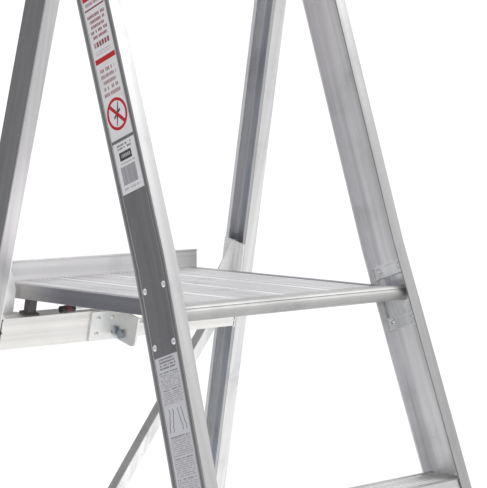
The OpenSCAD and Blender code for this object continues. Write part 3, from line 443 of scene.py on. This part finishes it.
def roundedCopy(node, material, width):
    # the node's own shape with its sharp edges broken
    source = frame["nodes"][node]
    mesh = source.data.copy()
    mesh.materials.clear()
    work = bmesh.new()
    work.from_mesh(mesh)
    bmesh.ops.remove_doubles(work, verts=work.verts, dist=sameSpot)
    bmesh.ops.dissolve_limit(work, angle_limit=math.radians(softEdge["flatAngle"]),
                             verts=work.verts, edges=work.edges)
    limit = math.radians(softEdge["angle"])
    sharp = [edge for edge in work.edges if len(edge.link_faces) == 2 and edge.calc_face_angle(0) > limit]
    bmesh.ops.bevel(work, geom=sharp, offset=width, segments=softEdge["segments"],
                    profile=softEdge["profile"], affect="EDGES", clamp_overlap=True)
    for face in work.faces:
        face.smooth = True
    work.to_mesh(mesh)
    work.free()
    mesh.set_sharp_from_angle(angle=math.radians(softEdge["sharp"]))
    mesh.materials.append(material)
    piece = bpy.data.objects.new(node + "_softened", mesh)
    bpy.context.scene.collection.objects.link(piece)
    # big flat faces keep their own normals, and the broken edges turn between them
    weigh = piece.modifiers.new("weigh", "WEIGHTED_NORMAL")
    weigh.keep_sharp, weigh.weight = True, softEdge["faceWeight"]
    split = piece.modifiers.new("split", "TRIANGULATE")
    split.min_vertices, split.keep_custom_normals = softEdge["splitFrom"], True
    made = bpy.data.meshes.new_from_object(piece.evaluated_get(bpy.context.evaluated_depsgraph_get()))
    piece.modifiers.clear()
    piece.data = made
    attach(piece, source["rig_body"])
    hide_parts(node)


edgeSoft = 0.0004  # how soft a zone's edge is, in metres
# each aluminium piece's tone is set to how bright that piece shows under the light, so the pieces are lit and
# shaded copies of one aluminium
finishes = {
    # painted shade: the outer web is darker than the flanges, and painted highlight lines run along both
    # edges of its recess
    "leftStile": extrudedAluminium(
        "left_stile_aluminium", "front", (0.42, 0.415, 0.42), 0.42,
        lightAndShadeZones=((0.0035, 0.0725, (0.235, 0.23, 0.245), edgeSoft),), highlightLines=(0.0095, 0.0665)),
    # painted light: the inner web is lighter, with a soft painted reflection that darkens towards the front
    # flange
    "rightStile": extrudedAluminium(
        "right_stile_aluminium", "front", (0.38, 0.38, 0.38), 0.42, seed=3.0,
        lightAndShadeZones=((0.0035, 0.080, (0.84, 0.835, 0.855), edgeSoft),
               (-0.040, 0.008, (0.54, 0.535, 0.56), 0.024),
               (-0.010, 0.0030, (0.38, 0.38, 0.38), edgeSoft))),
    # painted shade: the outer web is darker than the flanges
    "leftRearStile": extrudedAluminium(
        "left_rear_stile_aluminium", "rear", (0.60, 0.59, 0.60), 0.40, seed=5.0,
        lightAndShadeZones=((0.003, 0.060, (0.25, 0.25, 0.265), edgeSoft),)),
    # painted light: the web is lighter, with a softly painted darker middle, and the piece is less metallic
    # so it shows brighter
    "rightRearStile": extrudedAluminium(
        "right_rear_stile_aluminium", "rear", (0.72, 0.72, 0.72), 0.40, seed=6.0, metallic=0.6,
        lightAndShadeZones=((0.003, 0.0535, (0.80, 0.81, 0.83), edgeSoft),
               (0.012, 0.046, (0.58, 0.60, 0.66), 0.005))),
    "upperRail": extrudedAluminium("upper_rail_aluminium", "x", (0.82, 0.81, 0.79), 0.40, seed=7.0),
    "lowerRail": extrudedAluminium("lower_rail_aluminium", "x", (0.62, 0.63, 0.64), 0.40, seed=8.0),
    "tread": extrudedAluminium("tread_aluminium", "x", (0.57, 0.57, 0.57), 0.42, seed=9.0),
    "nose": extrudedAluminium("nose_aluminium", "x", (0.48, 0.48, 0.475), 0.54, seed=10.0),
    "plank": extrudedAluminium("plank_aluminium", "y", (0.88, 0.875, 0.89), 0.48, seed=11.0),
    # painted shade: the side facing away from the light is dark, and it is painted lighter towards its far
    # end
    "sideRail": extrudedAluminium(
        "side_rail_aluminium", "y", (0.235, 0.235, 0.27), 0.42, seed=12.0,
        far=(0.12, 0.30, (0.50, 0.49, 0.48))),
    "toeBoard": extrudedAluminium("toe_board_aluminium", "x", (0.57, 0.565, 0.57), 0.42, seed=14.0),
    "bracket": extrudedAluminium("bracket_aluminium", "front", (0.80, 0.81, 0.82), 0.30, seed=15.0),
    "hingePlate": extrudedAluminium("hinge_plate_aluminium", "front", (0.60, 0.61, 0.63), 0.38, seed=17.0),
    # painted light: a near-white tone and lower metallic keep it bright in the platform's shadow
    "gusset": extrudedAluminium(
        "gusset_aluminium", "rear", (0.94, 0.94, 0.94), 0.42, seed=18.0, metallic=0.5),
    # painted shade: the face from 32 to 90 mm deep is darker than the rest
    "brace": extrudedAluminium(
        "brace_aluminium", "rear", (0.80, 0.80, 0.80), 0.40, seed=19.0,
        lightAndShadeZones=((0.0316, 0.0900, (0.40, 0.39, 0.40), edgeSoft),)),
    "zinc": zincPlate("zinc_plate", (0.86, 0.86, 0.85)),
    "darkZinc": zincPlate("dark_zinc", (0.24, 0.30, 0.36)),
    "rivet": zincPlate("rivet_steel", (0.92, 0.93, 0.96), 0.15),
    "nylon": mouldedPlastic("black_nylon", (0.035, 0.036, 0.040), 0.46),
    "restBlock": mouldedPlastic("rest_block_rubber", (0.115, 0.105, 0.105), 0.60),
    "rubber": mouldedPlastic(
        "foot_rubber", (0.030, 0.030, 0.031), 0.72, grainScale=700.0, wear=(0.20, 0.19, 0.18)),
    "cap": mouldedPlastic(
        "cap_plastic", (0.46, 0.020, 0.028), 0.44, grainScale=2200.0, coat=0.1, wear=(0.50, 0.22, 0.20)),
    "grip": redBandedGrip("latch_grip_plastic"),
}
print("materials:", len(finishes))

# pieces with broken edges
dressed = {
    "leftStile": ["front_stile_left"],
    "rightStile": ["front_stile_right"],
    "leftRearStile": ["rear_stile_left"],
    "rightRearStile": ["rear_stile_right"],
    "upperRail": ["upper_cross_rail"],
    "lowerRail": ["lower_cross_rail"],
    "sideRail": ["side_rail_left", "side_rail_right"],
    "toeBoard": ["toe_board"],
    "hingePlate": ["hinge_plate_left", "hinge_plate_right"],
    "gusset": ["rear_gusset_left", "rear_gusset_right", "lower_rail_brackets"],
    "brace": ["diagonal_brace"],
    "zinc": ["rail_bracket", "latch_lever", "latch_keeper"],
    "restBlock": ["rest_block_left", "rest_block_right"],
    "bracket": ["platform_bracket_left", "platform_bracket_right", "tread_brackets_low",
                "tread_brackets_middle", "tread_brackets_top"],
    "cap": ["top_cap"],
    "rubber": ["front_foot_left", "front_foot_right", "rear_foot_left", "rear_foot_right"],
}
# pieces that keep the frame's own mesh
plain = {
    "tread": ["tread_low", "tread_middle", "tread_top"],
    "nose": ["platform_nose"],
    "plank": ["deck_planks"],
    "sideRail": ["deck_bearers"],
    "zinc": ["hinge_bolt_left", "hinge_bolt_right", "hinge_nuts", "rail_bracket_rivets", "latch_rod",
             "top_cap_screws"],
    "rivet": ["tread_rivets", "platform_bracket_rivets", "hinge_plate_rivets", "front_foot_rivets",
              "gusset_rivets", "brace_rivets", "rear_foot_rivets", "deck_rivets"],
    "darkZinc": ["latch_bolt", "latch_nut"],
    "nylon": ["hinge_spacers", "nose_bush_left", "nose_bush_right"],
    "grip": ["latch_grip"],
}
for finishName, nodes in dressed.items():
    for node in nodes:
        roundedCopy(node, finishes[finishName], softEdge["capWidth" if node == "top_cap" else "width"])
for finishName, nodes in plain.items():
    for node in nodes:
        paintNode(node, finishes[finishName])
paintNode("label_upper", upperLabel())
paintNode("label_middle", middleLabel())
paintNode("label_lower", lowerLabel())
print("pieces dressed")

# rivet crowns: a ring and a broken stem on every domed head, and a larger collar on some tails
crowns = {
    "dome": {"ringRadius": 0.0021, "ringWire": 0.00042, "stemRadius": 0.0011, "stemHeight": 0.0007,
             "sink": 0.00017},
    "collar": {"ringRadius": 0.0048, "ringWire": 0.0010, "stemRadius": 0.0019, "stemHeight": 0.0026,
               "sink": 0.0009},
}
crownSizes = ("ringRadius", "ringWire", "stemRadius", "stemHeight")
crownSteps = {"ring": 20, "wire": 6, "stem": 12}
rimDepth = 0.0006


def islands(mesh):
    # the separate solids of a mesh, as lists of points
    work = bmesh.new()
    work.from_mesh(mesh)
    bmesh.ops.remove_doubles(work, verts=work.verts, dist=sameSpot)
    left, found = set(work.verts), []
    while left:
        start = left.pop()
        todo, group = [start], [start.co.copy()]
        while todo:
            for edge in todo.pop().link_edges:
                for vert in edge.verts:
                    if vert in left:
                        left.discard(vert)
                        todo.append(vert)
                        group.append(vert.co.copy())
        found.append(group)
    work.free()
    return found


def crownTree():
    tree = bpy.data.node_groups.new("rivetCrown", "GeometryNodeTree")
    tree.interface.new_socket("Geometry", in_out="INPUT", socket_type="NodeSocketGeometry")
    sizes = {}
    for name in crownSizes:
        sizes[name] = tree.interface.new_socket(name, in_out="INPUT", socket_type="NodeSocketFloat")
        sizes[name].default_value = crowns["dome"][name]
    paint = tree.interface.new_socket("Finish", in_out="INPUT", socket_type="NodeSocketMaterial")
    tree.interface.new_socket("Geometry", in_out="OUTPUT", socket_type="NodeSocketGeometry")
    g = Graph(tree)
    source = tree.nodes.new("NodeGroupInput")
    give = {socket.name: Num(g, socket) for socket in source.outputs if socket.name}
    ringLine = g.node("GeometryNodeCurvePrimitiveCircle", None,
                      {"Resolution": crownSteps["ring"], "Radius": give["ringRadius"]})
    wire = g.node("GeometryNodeCurvePrimitiveCircle", None,
                  {"Resolution": crownSteps["wire"], "Radius": give["ringWire"]})
    ring = g.node("GeometryNodeCurveToMesh", None, {"Curve": ringLine, "Profile Curve": wire})
    stem = g.node("GeometryNodeMeshCylinder", None,
                  {"Vertices": crownSteps["stem"], "Radius": give["stemRadius"], "Depth": give["stemHeight"]})
    joined = g.node("GeometryNodeJoinGeometry", None, {"Geometry": ring})
    tree.links.new(stem.socket, joined.socket.node.inputs["Geometry"])
    facing = g.node("GeometryNodeInputNamedAttribute", {"data_type": "FLOAT_VECTOR"}, {"Name": "facing"})
    turn = g.node("FunctionNodeAlignRotationToVector", {"axis": "Z"}, {"Vector": facing})
    placed = g.node("GeometryNodeInstanceOnPoints", None,
                    {"Points": give["Geometry"], "Instance": joined, "Rotation": turn})
    real = g.node("GeometryNodeRealizeInstances", None, {"Geometry": placed})
    done = g.node("GeometryNodeSetMaterial", None, {"Geometry": real, "Material": give["Finish"]})
    target = tree.nodes.new("NodeGroupOutput")
    tree.links.new(done.socket, target.inputs["Geometry"])
    return tree, {name: socket.identifier for name, socket in sizes.items()} | {"Finish": paint.identifier}


def headsOf(node, axis, outward, sink):
    # (top of the head, the way it faces) of each rivet in a node, along its main axis
    found = []
    for group in islands(frame["nodes"][node].data):
        middle = sum(group, Vector()) / len(group)
        low = min(group, key=lambda p: p[axis])
        high = max(group, key=lambda p: p[axis])
        sign = outward(middle)
        top = high if sign > 0 else low
        rim = [p for p in group if abs(p[axis] - top[axis]) < rimDepth]
        top = sum(rim, Vector()) / len(rim)
        facing = Vector((0.0, 0.0, 0.0))
        facing[axis] = sign
        found.append((top - facing * sink, facing))
    return found


# body, kind of crown, name of the piece, and each node with its axis and the way its heads face
rivetHeads = [
    ("front_frame", "dome", "rivet_crowns_front_frame",
     [("tread_rivets", 0, "out"), ("platform_bracket_rivets", 0, "out"), ("hinge_plate_rivets", 0, "out"),
      ("front_foot_rivets", 0, "out"), ("top_cap_screws", 0, "out")]),
    ("rear_frame", "dome", "rivet_crowns_rear_frame",
     [("rear_foot_rivets", 0, "out"), ("brace_rivets", 1, "back")]),
    ("front_frame", "collar", "rivet_collars_front_frame",
     [("platform_bracket_rivets", 0, "in")]),
]
ways = {
    "out": lambda p: 1.0 if p[0] > 0 else -1.0,
    "in": lambda p: -1.0 if p[0] > 0 else 1.0,
    "back": lambda p: 1.0,
}
crownNodes, crownInputs = crownTree()
for body, kind, name, nodes in rivetHeads:
    sizes = crowns[kind]
    heads = [head for node, axis, way in nodes for head in headsOf(node, axis, ways[way], sizes["sink"])]
    mesh = bpy.data.meshes.new("points_of_" + name)
    mesh.from_pydata([tuple(top) for top, facing in heads], [], [])
    attribute = mesh.attributes.new("facing", "FLOAT_VECTOR", "POINT")
    attribute.data.foreach_set("vector", [part for top, facing in heads for part in facing])
    seed = bpy.data.objects.new("seed_of_" + name, mesh)
    bpy.context.scene.collection.objects.link(seed)
    modifier = seed.modifiers.new("crowns", "NODES")
    modifier.node_group = crownNodes
    for size in crownSizes:
        modifier[crownInputs[size]] = sizes[size]
    modifier[crownInputs["Finish"]] = finishes["rivet"]
    made = bpy.data.meshes.new_from_object(seed.evaluated_get(bpy.context.evaluated_depsgraph_get()))
    bpy.data.objects.remove(seed)
    piece = bpy.data.objects.new(name, made)
    bpy.context.scene.collection.objects.link(piece)
    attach(piece, body)
    print(name, len(heads))

# stage
stage = {"size": 4.4, "drop": 0.0005, "tone": 0.92, "shade": 0.99, "cloudScale": 0.7, "roughness": 0.9}
sky = {"low": 0.55, "high": 1.0, "upward": 0.6, "rightward": 0.5, "shift": 0.35, "seen": 1.05}
lights = {
    "key": {"place": (1.6, -1.4, 4.2), "aim": (0.3, 0.1, 1.0), "size": 2.6, "power": 90.0},
    "front_fill": {"place": (0.6, -4.0, 2.2), "aim": (0.2, 0.0, 1.2), "size": 2.4, "power": 30.0},
}


def makeFloor():
    bpy.ops.mesh.primitive_plane_add(size=stage["size"], location=(0, 0, -stage["drop"]))
    floor = bpy.context.object
    floor.name = "studio_floor"
    f = Finish("studio_floor_paint")
    light, dark = (stage["tone"],) * 3, (stage["tone"] * stage["shade"],) * 3
    colour = f.blend(f.noise(f.spot, scale=stage["cloudScale"]), light, dark)
    floor.data.materials.append(f.finish(colour, stage["roughness"]))


def makeLight(name, place, aim, size, power):
    data = bpy.data.lights.new(name, "AREA")
    data.shape, data.size, data.energy = "SQUARE", size, power
    light = bpy.data.objects.new(name, data)
    light.location = place
    light.rotation_euler = (Vector(aim) - Vector(place)).to_track_quat("-Z", "Y").to_euler()
    bpy.context.scene.collection.objects.link(light)


def makeSky():
    world = bpy.data.worlds.new("studio")
    bpy.context.scene.world = world
    world.use_nodes = True
    g = Graph(world.node_tree)
    back = world.node_tree.nodes["Background"]
    x, y, z = g.parts(g.node("ShaderNodeTexCoord", None, None, "Generated"))
    # brighter above and to the right, dim on the far left
    high = (z * sky["upward"] + x * sky["rightward"] + sky["shift"]).step(0.0, 1.0)
    level = high * (sky["high"] - sky["low"]) + sky["low"]
    seen = g.node("ShaderNodeLightPath", None, None, "Is Camera Ray")
    g.give(back.inputs["Strength"], level * (1.0 - seen) + seen * sky["seen"])
    g.give(back.inputs["Color"], (1, 1, 1, 1))


makeFloor()
makeSky()
for name, light in lights.items():
    makeLight(name, **light)
print("stage set")

view = {"place": (-1.8246, -2.0905, 1.4714), "yaw": 41.793, "pitch": -4.139, "lens": 125.73, "sensor": 36.0}
cameraData = bpy.data.cameras.new("camera")
cameraData.lens, cameraData.sensor_width = view["lens"], view["sensor"]
camera = bpy.data.objects.new("camera", cameraData)
camera.location = view["place"]
camera.rotation_euler = (math.radians(90.0 + view["pitch"]), 0.0, -math.radians(view["yaw"]))
bpy.context.scene.collection.objects.link(camera)
bpy.context.scene.camera = camera
bpy.context.scene.view_settings.view_transform = "Standard"
